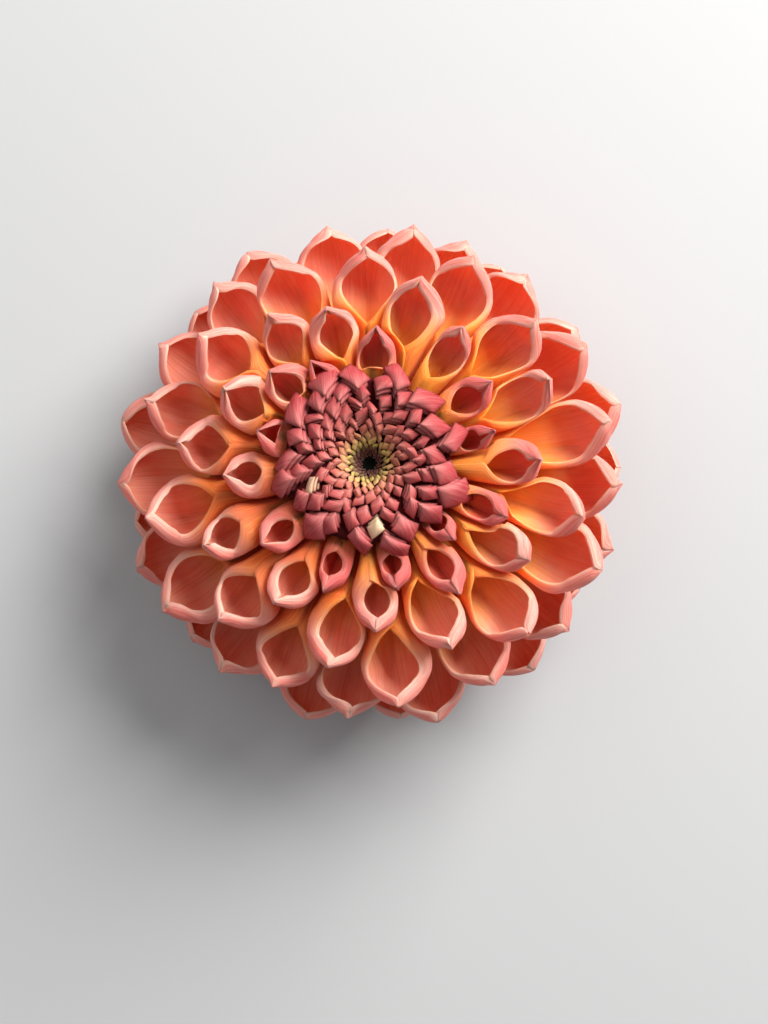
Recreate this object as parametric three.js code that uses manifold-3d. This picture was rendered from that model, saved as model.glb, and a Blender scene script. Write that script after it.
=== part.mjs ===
// Dahlia flower, ball type, cut just under the head and lying face up.
// Millimetres, +Z up. The photograph's right is +X and its top is +Y.
// The flower's own frame has its origin in the receptacle, where the floret rows meet, and its axis along +Z.

import * as THREE from 'three';
import { mergeVertices } from 'three/addons/utils/BufferGeometryUtils.js';
import Module from 'manifold-3d';

// Order of the florets round the head: 0 is the widest ring in sight, and numbers grow towards the centre.
const GOLDEN_ANGLE = 137.50776;
const FIRST_ANGLE = 43.75;
const FIRST_FLORET = -36;
const LAST_FLORET = 53;
const STILL_CLOSED = [46, 47, 49, 51, 52];
const LAST_HIDDEN_FLORET = -14;
const LYING_LAST = -30;
const FREE_FIRST = -16;
const PRESSED_DEPTHS = [2.02, 1.7, 1.93];
const BOARD_CLEARANCE = 1;

// How the whole head lies: lean of its axis, the direction of the lean, and the height of its centre.
const LEAN = 5.3;
const LEAN_TOWARDS = 326;
const CENTRE_HEIGHT = 24;

// Sizes of a floret as they change through the head, at these numbers of the order.
const STAGES = [-39, -26, -13, 0, 13, 26, 39, 53];
const TIP_RADIUS = [38.6, 45.8, 49.6, 47.7, 44, 35.8, 26.2, 19.8];
const TIP_HEIGHT = [-21.5, -17.5, -11, -3.2, 5.5, 13, 17.5, 20];
const ROOT_RADIUS = [10, 11.5, 12.5, 12.5, 12, 11, 9.5, 8.5];
const ROOT_HEIGHT = [-6, -4, -2, 0, 2, 4.5, 6.5, 7.5];
const ROOT_RISE = [-35, -22, -8, 6, 20, 34, 46, 54];
const TIP_RISE = [-5, 4, 16, 30, 44, 54, 60, 66];
const HALF_WIDTH = [7.2, 7.9, 8.4, 8.2, 7.4, 5.8, 4.2, 2.5];
const HALF_DEPTH_SHARE = [0.55, 0.6, 0.66, 0.76, 0.86, 0.95, 0.9, 0.8];
const CLOSED_SHARE = [0.22, 0.25, 0.3, 0.35, 0.4, 0.45, 0.54, 0.66];

// The florets of the middle rings are longer on one side and crowd together on the other.
const LONG_SIDE = 114;
const LONG_SIDE_STAGES = [-13, 5, 22, 42, 53];
const LONG_SIDE_REACH = [-1.1, 0.7, 4.4, 4.4, 2.2];
const CROWDING_COSINE = -2.5;
const CROWDING_SINE = -1.9;

// A floret's section and blade.
const ROOT_HALF_WIDTH = 1.3;
const WALL = 0.7;
const WIDEST_SHARE = 0.62;
const WIDENING_POWER = 1.2;
const WIDENING_SWELL = 0.25;
const WIDENING_SWELL_POWER = 4;
const DEEPENING_SHARE = 0.6;
const TIP_BLUNTNESS = 0.04;
const TIP_CURL = 0.4;
const TIP_BEAK = 0.35;
const LIP_STAGES = [0.3, 0.65, 1];
const LIP_LEAN = [0, 0.4, 0.9];
const LIP_SLOPES = [0.3, 1.3];
const ROOT_HANDLE = 0.42;
const TIP_HANDLE = 0.3;

// Lines along a floret: angle from the midrib, and the place of the rim there, from 0 at the throat
// to 1 at the tip.
const SHOWN_RIM = [
  [-124, 0.78], [-85, 0.95], [-42, 0.99], [0, 1], [42, 0.99],
  [85, 0.95], [124, 0.78], [155, 0.08], [180, 0], [-155, 0.08],
];
const INNER_RIM = [[-112, 0.85], [0, 1], [112, 0.85], [150, 0.12], [180, 0], [-150, 0.12]];
const HIDDEN_RIM = [[-70, 0.95], [0, 1], [70, 0.95], [140, 0.3], [180, 0], [-140, 0.3]];
const LARGE_BANDS = [0, 0.5, 0.78, 1];
const LARGE_HOLLOW_BANDS = [1, 0.7];
const SMALL_BANDS = [0, 0.74, 1];
const SMALL_HOLLOW_BANDS = [1];
const LAST_LARGE_FLORET = 22;
const FIRST_INNER_FLORET = 34;
const HOLLOW_END_SHARE = 0.55;
const HOLLOW_TIP_SHARE = 0.72;

// How neighbours press together: the room left half way between them, how near a neighbour counts,
// rounds of pressing, points along a middle line, and the length over which pressing fades past a tip.
const PRESS_GAP = 0.2;
const PRESS_NEAR = 14;
const PRESS_ROUNDS = 2;
const PRESS_STEPS = 16;
const PRESS_FADE = 1.5;
const LEAST_STEP = 1e-6;

// Natural unevenness, as shares or degrees.
const UNEVEN_ANGLE = 2.2;
const UNEVEN_LENGTH = 0.025;
const UNEVEN_HEIGHT = 0.9;
const UNEVEN_ROOT_RISE = 3;
const UNEVEN_TIP_RISE = 8;
const UNEVEN_WIDTH = 0.06;
const UNEVEN_CLOSED = 0.04;
const UNEVEN_ROLL = 11;
const UNEVEN_BEND = 0.13;
const UNEVEN_BRACT = 0.12;

// Disc of closed florets: a log spiral on a low dome with a pit in the middle.
const DISC_FIRST = 46;
const DISC_RADIUS = 16.4;
const DISC_SHRINK = 0.011;
const DISC_INNER_RADIUS = 5.2;
const EYE_INNER_RADIUS = 3;
const DISC_EDGE_RADIUS = 18.6;
const DISC_STEM_RADIUS = 6.6;
const DISC_SEAT_HEIGHT = 8.5;
const DISC_NECK_HEIGHTS = [DISC_SEAT_HEIGHT, 15, 17, 19.3];
const DISC_NECK_RADII = [DISC_STEM_RADIUS, 13, 16, DISC_EDGE_RADIUS];
const DOME_RADII = [1.5, 3, 6, 9, 12, 15, 18.2, 20];
const DOME_HEIGHTS = [14.5, 17.2, 20.4, 21.6, 22, 21.6, 20.3, 19];
const CORE_LOWER_PROFILE = [
  [0, DISC_SEAT_HEIGHT], [DISC_STEM_RADIUS, DISC_SEAT_HEIGHT], [13.4, 15], [16.2, 18],
];
const CORE_DOME_RADII = [16.6, 12, 6.3];
const CORE_PIT_PROFILE = [[6, 17.6], [4.2, 15.4], [0, 13.8]];
const DISC_SEGMENTS = 12;
const EYE_SEGMENTS = 8;
const TILE_SHARE = 0.88;
const TILE_TILT = 0.16;
const TILE_ROOT_DEPTH = 1.6;
const TILE_FULL_SIZE = 3;
const TILE_LEAST_DEPTH = 0.5;
const TILE_LEAN_STAGES = [5.2, 9];
const TILE_LEAN_IN = [-0.12, 0.12];
const EYE_LEAN_IN = 0.2;
const BUD_DEPTH = 1;
const BUD_RISE = 0.35;
const TILE_SEAT_SHARE = 0.05;

// Receptacle, bracts and stem, with the gap between pieces.
const GAP = 0.3;
const SHORTEST_EDGE = 0.02;
const MERGE_DISTANCE = 1e-4;
const BEND_CLEARANCE = 0.8;
const RECEPTACLE_BOTTOM = -8.5;
const RECEPTACLE_TOP = DISC_SEAT_HEIGHT - GAP;
const RECEPTACLE_PROFILE = [
  [0, RECEPTACLE_BOTTOM], [7, RECEPTACLE_BOTTOM], [13, -7.2], [19, -3], [20, 2], [18, 7], [13, 9.5],
  [8.6, RECEPTACLE_TOP], [0, RECEPTACLE_TOP],
];
const RECEPTACLE_SEGMENTS = 24;
const EYE_FLOOR_PROFILE = [
  [0, 13.8 + GAP], [4, 15.4 + GAP], [4.6, 17.3], [4.4, 18.6], [3, 16.7], [1.6, 15.4], [0, 15],
];
const SCALE_THICKNESS = 0.7;
const SCALES = 8;
const BLADE_CUP = 0.15;
const BLADE_RIDGE = 1.4;
const SCALE_PLATE_RADIUS = 8;
const SCALE_PATH = [[6, -9.15, 2.2], [10, -9.8, 3.2], [13, -11.2, 2.6], [15, -12.4, 0.9]];
const LEAFLETS = 6;
const LEAFLET_THICKNESS = 0.9;
const LEAFLET_PATH = [
  [3, -11, 1.8], [7.5, -11.7, 2.6], [11, -13.8, 3.1], [12.6, -17, 2.4], [12.8, -19.2, 0.8],
];
const COLLAR_RADIUS = 5.2;
const COLLAR_HEIGHT = 1.8;
const STEM_RADIUS = 3.6;
const STEM_BORE_RADIUS = 1.7;
const STEM_BORE_TOP = -12.5;
const STEM_END = -22;
const STEM_SEGMENTS = 16;
const BORE_SEGMENTS = 12;

const wasm = await Module();
wasm.setup();

const radians = (degrees) => degrees * Math.PI / 180;
const clamp01 = (x) => Math.min(Math.max(x, 0), 1);
const direction = (degrees) => new THREE.Vector2(Math.cos(radians(degrees)), Math.sin(radians(degrees)));

// Straight-line reading of a list of sizes between its stages.
function reading(stages, sizes, x) {
  if (x <= stages[0]) return sizes[0];
  for (let i = 1; i < stages.length; i++) {
    if (x <= stages[i]) {
      const share = (x - stages[i - 1]) / (stages[i] - stages[i - 1]);
      return sizes[i - 1] + share * (sizes[i] - sizes[i - 1]);
    }
  }
  return sizes[sizes.length - 1];
}
const sizeAt = (sizes, n) => reading(STAGES, sizes, n);

// Repeatable draw between -1 and 1 for floret n and trait k.
function draw(n, k) {
  const s = Math.sin(n * 12.9898 + k * 78.233) * 43758.5453;
  return 2 * (s - Math.floor(s)) - 1;
}

// Azimuth of floret n, clockwise from +Y seen from above, in degrees.
function azimuth(n) {
  const even = radians(FIRST_ANGLE + GOLDEN_ANGLE * n);
  return FIRST_ANGLE + GOLDEN_ANGLE * n + CROWDING_COSINE * Math.cos(even) + CROWDING_SINE * Math.sin(even);
}

// Height of the disc's surface at a distance from the axis, in the flower's frame.
function discHeight(r) {
  return reading(DOME_RADII, DOME_HEIGHTS, r);
}

// Radius of the space that the disc and its neck fill at a height, in the flower's frame.
function discNeck(z) {
  return reading(DISC_NECK_HEIGHTS, DISC_NECK_RADII, z);
}

// Height of a floret's tip, where the lowest florets lie on the board and the last three carry the head.
function onBoard(n, az, tipRadius, freeHeight) {
  const lean = tipRadius * Math.sin(radians(LEAN)) * Math.cos(az - radians(LEAN_TOWARDS));
  const pressedDepth = PRESSED_DEPTHS[n - FIRST_FLORET];
  const lift = pressedDepth === undefined ? BOARD_CLEARANCE * (1 + draw(n, 12) / 2) : -pressedDepth;
  const boardHeight = (lift - CENTRE_HEIGHT + lean) / Math.cos(radians(LEAN));
  return THREE.MathUtils.lerp(boardHeight, freeHeight, clamp01((n - LYING_LAST) / (FREE_FIRST - LYING_LAST)));
}

// Everything that fixes the shape of floret n.
function floretShape(n) {
  const az = radians(azimuth(n) + UNEVEN_ANGLE * draw(n, 1));
  const reach = reading(LONG_SIDE_STAGES, LONG_SIDE_REACH, n) * Math.cos(az - radians(LONG_SIDE));
  const root = new THREE.Vector2(sizeAt(ROOT_RADIUS, n), sizeAt(ROOT_HEIGHT, n));
  const tipRadius = sizeAt(TIP_RADIUS, n) * (1 + UNEVEN_LENGTH * draw(n, 2)) + reach;
  const freeHeight = sizeAt(TIP_HEIGHT, n) + UNEVEN_HEIGHT * draw(n, 3);
  const tip = new THREE.Vector2(tipRadius, onBoard(n, az, tipRadius, freeHeight));
  const chord = root.distanceTo(tip);
  const rootRise = sizeAt(ROOT_RISE, n) + UNEVEN_ROOT_RISE * draw(n, 4);
  const tipRise = sizeAt(TIP_RISE, n) + UNEVEN_TIP_RISE * draw(n, 5);
  const midrib = new THREE.CubicBezierCurve(
    root,
    root.clone().addScaledVector(direction(rootRise), ROOT_HANDLE * chord),
    tip.clone().addScaledVector(direction(tipRise), -TIP_HANDLE * chord),
    tip,
  );
  return {
    az,
    midrib,
    halfWidth: sizeAt(HALF_WIDTH, n) * (1 + UNEVEN_WIDTH * draw(n, 6)),
    depthShare: sizeAt(HALF_DEPTH_SHARE, n),
    closed: sizeAt(CLOSED_SHARE, n) + UNEVEN_CLOSED * draw(n, 7),
    roll: radians(UNEVEN_ROLL * draw(n, 11)),
    bend: UNEVEN_BEND * sizeAt(HALF_WIDTH, n) * draw(n, 13),
  };
}

// Point of the floret at length v and angle from the midrib, drawn in from the outer face by inset.
function floretPoint(shape, v, angle, inset) {
  const m = shape.midrib.getPoint(v);
  const d = shape.midrib.getTangent(v);
  const t = clamp01(v / WIDEST_SHARE);
  const q = clamp01((v - WIDEST_SHARE) / (1 - WIDEST_SHARE));
  const grow = t ** WIDENING_POWER * (1 + WIDENING_SWELL - WIDENING_SWELL * t ** WIDENING_SWELL_POWER);
  const taper = TIP_BLUNTNESS + (1 - TIP_BLUNTNESS) * Math.sqrt(1 - q * q);
  const width = (ROOT_HALF_WIDTH + (shape.halfWidth - ROOT_HALF_WIDTH) * grow) * taper;
  const depth = width * (1 + (shape.depthShare - 1) * clamp01(v / DEEPENING_SHARE));
  const beyond = shape.halfWidth * shape.depthShare * (1 - taper);
  const lip = reading(LIP_STAGES, LIP_LEAN, v) * THREE.MathUtils.clamp(d.y / d.x, ...LIP_SLOPES);
  const flatX = (width - inset) * Math.sin(angle);
  const flatY = -(depth - inset) * Math.cos(angle);
  const turn = shape.roll * v;
  const x = flatX * Math.cos(turn) + flatY * Math.sin(turn) + shape.bend * v * v;
  const y = depth - flatX * Math.sin(turn) + flatY * Math.cos(turn);
  const along = TIP_BEAK * beyond + lip * y;
  const up = TIP_CURL * beyond + y;
  const out = m.x + d.x * along - d.y * up;
  const z = m.y + d.y * along + d.x * up;
  const px = out * Math.sin(shape.az) + x * Math.cos(shape.az);
  const py = out * Math.cos(shape.az) - x * Math.sin(shape.az);
  return clearOfDisc(new THREE.Vector3(px, py, z), inset);
}

// A floret beside the disc bends clear of it.
function clearOfDisc(point, inset) {
  const r = Math.hypot(point.x, point.y);
  const least = discNeck(point.z) + BEND_CLEARANCE + inset;
  if (point.z > DISC_SEAT_HEIGHT && r < least) {
    point.x *= least / r;
    point.y *= least / r;
  }
  return point;
}

// Middle line of each open floret: points, their distances from the head's centre, and half widths.
const openFlorets = [];
for (let n = FIRST_FLORET; n <= LAST_FLORET; n++) {
  if (!STILL_CLOSED.includes(n)) openFlorets.push(n);
}
const middles = new Map(openFlorets.map((n) => {
  const shape = floretShape(n);
  const points = [];
  const distances = [];
  const widths = [];
  for (let i = 0; i <= PRESS_STEPS; i++) {
    const v = i / PRESS_STEPS;
    const low = floretPoint(shape, v, 0, 0);
    const high = floretPoint(shape, v, Math.PI, 0);
    const point = low.clone().add(high).multiplyScalar(0.5);
    points.push(point);
    distances.push(Math.max(point.length(), (distances[i - 1] ?? 0) + LEAST_STEP));
    widths.push(floretPoint(shape, v, Math.PI / 2, 0).distanceTo(floretPoint(shape, v, -Math.PI / 2, 0)) / 2);
  }
  return [n, { points, distances, widths }];
}));
const near = (n, m) => middles.get(n).points.some(
  (a) => middles.get(m).points.some((b) => a.distanceTo(b) < PRESS_NEAR),
);
const neighbours = new Map(openFlorets.map((n) => [n, openFlorets.filter((m) => m !== n && near(n, m))]));

// Middle and half width of floret n at a distance from the head's centre.
function middleAt(n, distance) {
  const { points, distances, widths } = middles.get(n);
  const along = (key) => reading(distances, points.map((p) => p[key]), distance);
  return {
    point: new THREE.Vector3(along('x'), along('y'), along('z')),
    width: reading(distances, widths, distance),
    present: clamp01((distances[PRESS_STEPS] - distance) / PRESS_FADE + 1),
  };
}

// Neighbours press together: a point past the half-way surface to the next floret moves back to it.
function pressed(n, point, inset) {
  for (let round = 0; round < PRESS_ROUNDS; round++) {
    const distance = point.length();
    const own = middleAt(n, distance);
    for (const m of neighbours.get(n)) {
      const other = middleAt(m, distance);
      const towards = other.point.clone().sub(own.point);
      const length = towards.length();
      towards.normalize();
      const limit = length * own.width / (own.width + other.width) - PRESS_GAP - inset;
      const reach = point.clone().sub(own.point).dot(towards);
      if (reach > limit) point.addScaledVector(towards, (limit - reach) * other.present);
    }
  }
  return point;
}

// Closed mesh from points and triangles, as a solid for joining and cutting.
function solidFrom(points, triangles) {
  const geometry = new THREE.BufferGeometry();
  const places = points.flatMap((p) => [p.x, p.y, p.z]);
  geometry.setAttribute('position', new THREE.Float32BufferAttribute(places, 3));
  geometry.setIndex(triangles.flat());
  return solidOf(geometry);
}

function solidOf(geometry) {
  const bare = geometry.clone();
  bare.deleteAttribute('normal');
  bare.deleteAttribute('uv');
  const merged = mergeVertices(bare, MERGE_DISTANCE);
  const corners = merged.index.array;
  const kept = [];
  for (let i = 0; i < corners.length; i += 3) {
    const [a, b, c] = [corners[i], corners[i + 1], corners[i + 2]];
    if (a !== b && b !== c && c !== a) kept.push(a, b, c);
  }
  return new wasm.Manifold(new wasm.Mesh({
    numProp: 3,
    vertProperties: new Float32Array(merged.attributes.position.array),
    triVerts: new Uint32Array(kept),
  }));
}

function geometryOf(solid) {
  const mesh = solid.getMesh();
  const geometry = new THREE.BufferGeometry();
  geometry.setAttribute('position', new THREE.Float32BufferAttribute(mesh.vertProperties, 3));
  geometry.setIndex(new THREE.Uint32BufferAttribute(mesh.triVerts, 1));
  return geometry;
}

// The one body of a solid that holds together, with any sealed hollow filled.
function largestBody(solid) {
  return solid.decompose().reduce((best, body) => (body.volume() > best.volume() ? body : best));
}

const joined = (solids) => largestBody(wasm.Manifold.union(solids));

// Edges that are too short, or that more than two faces share because two folds just touch there.
function faultyEdges(triangles, corner) {
  const faces = new Map();
  for (const triangle of triangles) {
    triangle.forEach((a, i) => {
      const b = triangle[(i + 1) % 3];
      const edge = `${Math.min(a, b)},${Math.max(a, b)}`;
      faces.set(edge, (faces.get(edge) ?? 0) + 1);
    });
  }
  const ends = [...faces].map(([edge, count]) => [...edge.split(',').map(Number), count]);
  return ends.filter(([a, b, count]) => count > 2 || corner(a).distanceTo(corner(b)) < SHORTEST_EDGE);
}

// The same solid with its faulty edges closed up to a point.
function tidied(solid) {
  const merged = mergeVertices(geometryOf(solid), MERGE_DISTANCE);
  const places = merged.attributes.position.array;
  const corner = (i) => new THREE.Vector3().fromArray(places, 3 * i);
  let triangles = [];
  for (let i = 0; i < merged.index.count; i += 3) triangles.push([...merged.index.array.subarray(i, i + 3)]);
  let faulty = faultyEdges(triangles, corner);
  while (faulty.length > 0) {
    const follows = new Map();
    const leader = (i) => (follows.has(i) ? leader(follows.get(i)) : i);
    for (const [a, b] of faulty) {
      if (leader(a) !== leader(b)) follows.set(leader(b), leader(a));
    }
    triangles = triangles.map((triangle) => triangle.map(leader));
    triangles = triangles.filter(([a, b, c]) => a !== b && b !== c && c !== a);
    faulty = faultyEdges(triangles, corner);
  }
  return largestBody(new wasm.Manifold(new wasm.Mesh({
    numProp: 3,
    vertProperties: places,
    triVerts: new Uint32Array(triangles.flat()),
  })));
}

// Two rings of equal count joined by a band of triangles, each pair split along its shorter diagonal.
function band(points, triangles, lower, upper, count) {
  for (let i = 0; i < count; i++) {
    const j = (i + 1) % count;
    const rising = points[lower + i].distanceTo(points[upper + j]);
    const falling = points[lower + j].distanceTo(points[upper + i]);
    const [a, b, c, d] = [lower + i, lower + j, upper + j, upper + i];
    if (rising < falling) triangles.push([a, c, b], [a, d, c]);
    else triangles.push([a, d, b], [d, c, b]);
  }
}

// One open floret: a cone from the root to a slanting, pointed mouth, hollow from the mouth down.
function floretSolid(n) {
  const shape = floretShape(n);
  const hidden = n <= LAST_HIDDEN_FLORET;
  const small = hidden || n > LAST_LARGE_FLORET;
  const bands = small ? SMALL_BANDS : LARGE_BANDS;
  const hollowBands = small ? SMALL_HOLLOW_BANDS : LARGE_HOLLOW_BANDS;
  const shownRim = n < FIRST_INNER_FLORET ? SHOWN_RIM : INNER_RIM;
  const rim = hidden ? HIDDEN_RIM : shownRim;
  const columns = rim.map(([degrees, share]) => ({
    angle: radians(degrees),
    end: shape.closed + share * (1 - shape.closed),
  }));
  const sides = columns.length;
  const points = [];
  const triangles = [];
  const ring = (share, inset, farthest) => {
    const start = points.length;
    for (const { angle, end } of columns) {
      points.push(pressed(n, floretPoint(shape, share * Math.min(end, farthest), angle, inset), inset));
    }
    return start;
  };
  let last = ring(bands[0], 0, 1);
  for (let i = 1; i < sides - 1; i++) triangles.push([last, last + i, last + i + 1]);
  for (const share of bands.slice(1)) {
    const next = ring(share, 0, 1);
    band(points, triangles, last, next, sides);
    last = next;
  }
  for (const share of hollowBands) {
    const next = ring(share, WALL, HOLLOW_TIP_SHARE);
    band(points, triangles, last, next, sides);
    last = next;
  }
  const end = points.length;
  const lowest = HOLLOW_END_SHARE * shape.closed;
  const hollowEnd = floretPoint(shape, lowest, 0, 0).add(floretPoint(shape, lowest, Math.PI, 0));
  points.push(hollowEnd.multiplyScalar(0.5));
  for (let i = 0; i < sides; i++) triangles.push([last + (i + 1) % sides, last + i, end]);
  return solidFrom(points, triangles);
}

// Solid of revolution about the flower's axis from [radius, height] pairs, listed from the bottom up.
function turned(profile, segments) {
  const lathe = new THREE.LatheGeometry(profile.map(([r, z]) => new THREE.Vector2(r, z)), segments);
  lathe.rotateX(Math.PI / 2);
  return solidOf(lathe);
}

function rayFlorets() {
  const receptacle = turned(RECEPTACLE_PROFILE, RECEPTACLE_SEGMENTS);
  return joined([receptacle, ...openFlorets.map(floretSolid)]);
}

// Places in the disc follow the same order. Steps of 13 and 21 florets lead to a tile's four neighbours.
function discPlace(n) {
  return { logRadius: Math.log(DISC_RADIUS) - DISC_SHRINK * (n - DISC_FIRST), az: radians(azimuth(n)) };
}

function turnOf(step) {
  const degrees = (step * GOLDEN_ANGLE) % 360;
  return radians(degrees > 180 ? degrees - 360 : degrees);
}

function discPoint(logRadius, az, lift) {
  const r = Math.exp(logRadius);
  return new THREE.Vector3(r * Math.sin(az), r * Math.cos(az), discHeight(r) + lift);
}

// Corners of tile n as steps from its middle, outermost first, then round the tile.
function tileCorners(n, share) {
  const { logRadius, az } = discPlace(n);
  const a = { out: -13 * DISC_SHRINK * share / 2, turn: turnOf(13) * share / 2 };
  const b = { out: -21 * DISC_SHRINK * share / 2, turn: turnOf(21) * share / 2 };
  return [[-1, -1], [-1, 1], [1, 1], [1, -1]].map(([i, j]) => ({
    logRadius: logRadius + i * a.out + j * b.out,
    az: az + i * a.turn + j * b.turn,
    inward: (i + j) / 2,
  }));
}

// One closed floret: a four-sided tile with its inner corner raised and its root drawn in or out.
function tileSolid(n, leanIn) {
  const size = Math.exp(discPlace(n).logRadius) * Math.sqrt(2 * Math.PI * DISC_SHRINK);
  const corners = tileCorners(n, TILE_SHARE);
  const top = corners.map((c) => discPoint(c.logRadius, c.az, size * TILE_TILT * (1 + c.inward)));
  const depth = TILE_ROOT_DEPTH * clamp01(size / TILE_FULL_SIZE) + TILE_LEAST_DEPTH;
  const bottom = corners.map((c) => discPoint(c.logRadius - leanIn, c.az, -depth));
  const triangles = [[0, 2, 1], [0, 3, 2], [4, 5, 6], [4, 6, 7]];
  for (let i = 0; i < 4; i++) {
    const j = (i + 1) % 4;
    triangles.push([i, j + 4, i + 4], [i, j, j + 4]);
  }
  return solidFrom([...top, ...bottom], triangles);
}

// One bud tip of the eye: a four-sided point.
function budSolid(n) {
  const { logRadius, az } = discPlace(n);
  const size = Math.exp(logRadius) * Math.sqrt(2 * Math.PI * DISC_SHRINK);
  const foot = tileCorners(n, TILE_SHARE).map((c) => discPoint(c.logRadius - EYE_LEAN_IN, c.az, -BUD_DEPTH));
  const tip = discPoint(logRadius, az, size * BUD_RISE);
  const triangles = [[0, 1, 2], [0, 2, 3]];
  for (let i = 0; i < 4; i++) triangles.push([i, 4, (i + 1) % 4]);
  return solidFrom([...foot, tip], triangles);
}

function discNumbers(fromRadius, toRadius) {
  const numbers = [];
  for (let n = DISC_FIRST; Math.exp(discPlace(n).logRadius) > toRadius; n++) {
    const open = n <= LAST_FLORET && !STILL_CLOSED.includes(n);
    if (!open && Math.exp(discPlace(n).logRadius) <= fromRadius) numbers.push(n);
  }
  return numbers;
}

function closedFlorets() {
  const dome = CORE_DOME_RADII.map((r) => [r, discHeight(r) - TILE_SEAT_SHARE * r]);
  const core = turned([...CORE_LOWER_PROFILE, ...dome, ...CORE_PIT_PROFILE], DISC_SEGMENTS);
  const tiles = discNumbers(DISC_EDGE_RADIUS, DISC_INNER_RADIUS).map(
    (n) => tileSolid(n, reading(TILE_LEAN_STAGES, TILE_LEAN_IN, Math.exp(discPlace(n).logRadius))),
  );
  return joined([core, ...tiles]);
}

function greenEye() {
  const floor = turned(EYE_FLOOR_PROFILE, EYE_SEGMENTS);
  const tips = discNumbers(DISC_INNER_RADIUS, EYE_INNER_RADIUS).map((n) => budSolid(n));
  return joined([floor, ...tips]);
}

// Thin blade along a path of [radius, height, half width], pointing in one direction.
function bladeSolid(path, thickness, az) {
  const points = [];
  const triangles = [];
  for (const [radius, height, halfWidth] of path) {
    for (const [side, up] of [[-1, 0], [0, -0.5], [1, 0], [0, 0.5]]) {
      const x = side * halfWidth;
      const cupped = side * side * BLADE_CUP * halfWidth;
      points.push(new THREE.Vector3(
        radius * Math.sin(az) + x * Math.cos(az),
        radius * Math.cos(az) - x * Math.sin(az),
        height - cupped + up * thickness,
      ));
    }
  }
  for (let i = 1; i < path.length; i++) band(points, triangles, 4 * (i - 1), 4 * i, 4);
  const end = points.length - 4;
  triangles.push([0, 1, 2], [0, 2, 3], [end, end + 2, end + 1], [end, end + 3, end + 2]);
  return solidFrom(points, triangles);
}

// Azimuth of bract i of a ring, a little uneven.
function bractAzimuth(i, count, trait) {
  return 2 * Math.PI * (i + UNEVEN_BRACT * draw(i, trait)) / count;
}

function innerBracts() {
  const top = RECEPTACLE_BOTTOM - GAP;
  const bottom = top - SCALE_THICKNESS;
  const plate = turned([
    [0, bottom], [SCALE_PLATE_RADIUS, bottom], [SCALE_PLATE_RADIUS - 1, top], [0, top],
  ], STEM_SEGMENTS);
  const scales = Array.from({ length: SCALES }, (_, i) => (
    bladeSolid(SCALE_PATH, SCALE_THICKNESS * BLADE_RIDGE, bractAzimuth(i, SCALES, 13))
  ));
  return joined([plate, ...scales]);
}

function stemAndOuterBracts() {
  const top = RECEPTACLE_BOTTOM - 2 * GAP - SCALE_THICKNESS;
  const outside = turned([
    [0, STEM_END], [STEM_RADIUS, STEM_END], [STEM_RADIUS, top - 2 * COLLAR_HEIGHT],
    [COLLAR_RADIUS, top - COLLAR_HEIGHT], [COLLAR_RADIUS, top], [0, top],
  ], STEM_SEGMENTS);
  const boreEnd = STEM_END - 1;
  const bore = turned([
    [0, boreEnd], [STEM_BORE_RADIUS, boreEnd], [STEM_BORE_RADIUS, STEM_BORE_TOP], [0, STEM_BORE_TOP],
  ], BORE_SEGMENTS);
  const leaflets = Array.from({ length: LEAFLETS }, (_, i) => (
    bladeSolid(LEAFLET_PATH, LEAFLET_THICKNESS * BLADE_RIDGE, bractAzimuth(i, LEAFLETS, 14))
  ));
  return joined([outside, ...leaflets]).subtract(bore);
}

// Whole head: lean it and lift it.
function settle(solid) {
  const axis = new THREE.Vector3(Math.cos(radians(LEAN_TOWARDS)), -Math.sin(radians(LEAN_TOWARDS)), 0);
  const matrix = new THREE.Matrix4().makeRotationAxis(axis, -radians(LEAN));
  matrix.setPosition(0, 0, CENTRE_HEIGHT);
  return solid.transform(matrix.elements);
}

function material(color, roughness) {
  return new THREE.MeshStandardMaterial({ color, roughness, metalness: 0, flatShading: true });
}

const pieces = {
  ray_florets: [settle(rayFlorets()).trimByPlane([0, 0, 1], 0), material('#e08a72', 0.6)],
  closed_florets: [settle(closedFlorets()), material('#b8606a', 0.55)],
  green_eye: [settle(greenEye()), material('#b9b560', 0.6)],
  inner_bracts: [settle(innerBracts()), material('#b9a173', 0.7)],
  stem_and_outer_bracts: [settle(stemAndOuterBracts()), material('#6f8a45', 0.6)],
};

const head = new THREE.Group();
for (const [name, [solid, look]] of Object.entries(pieces)) {
  const mesh = new THREE.Mesh(geometryOf(tidied(solid)), look);
  mesh.name = name;
  head.add(mesh);
}

// The origin is under the middle of the head, on the board.
const box = new THREE.Box3().setFromObject(head);
const middle = box.getCenter(new THREE.Vector3());
head.position.set(-middle.x, -middle.y, -box.min.z);

export default head;
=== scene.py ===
import math

import bpy
import numpy as np
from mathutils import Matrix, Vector

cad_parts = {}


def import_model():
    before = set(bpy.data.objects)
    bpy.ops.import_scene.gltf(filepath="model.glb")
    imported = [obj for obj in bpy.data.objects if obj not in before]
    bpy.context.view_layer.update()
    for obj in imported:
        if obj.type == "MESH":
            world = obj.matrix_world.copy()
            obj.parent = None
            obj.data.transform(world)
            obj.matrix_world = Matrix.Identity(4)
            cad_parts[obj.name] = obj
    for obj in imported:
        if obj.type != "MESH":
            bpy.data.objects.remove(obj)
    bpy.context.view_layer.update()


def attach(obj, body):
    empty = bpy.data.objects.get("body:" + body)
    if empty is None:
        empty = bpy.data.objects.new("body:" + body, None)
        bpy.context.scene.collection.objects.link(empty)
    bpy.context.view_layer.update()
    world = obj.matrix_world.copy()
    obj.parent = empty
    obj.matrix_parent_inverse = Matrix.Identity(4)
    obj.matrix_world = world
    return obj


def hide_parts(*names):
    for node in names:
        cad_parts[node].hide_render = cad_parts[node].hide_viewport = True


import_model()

MM = 0.001

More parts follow.
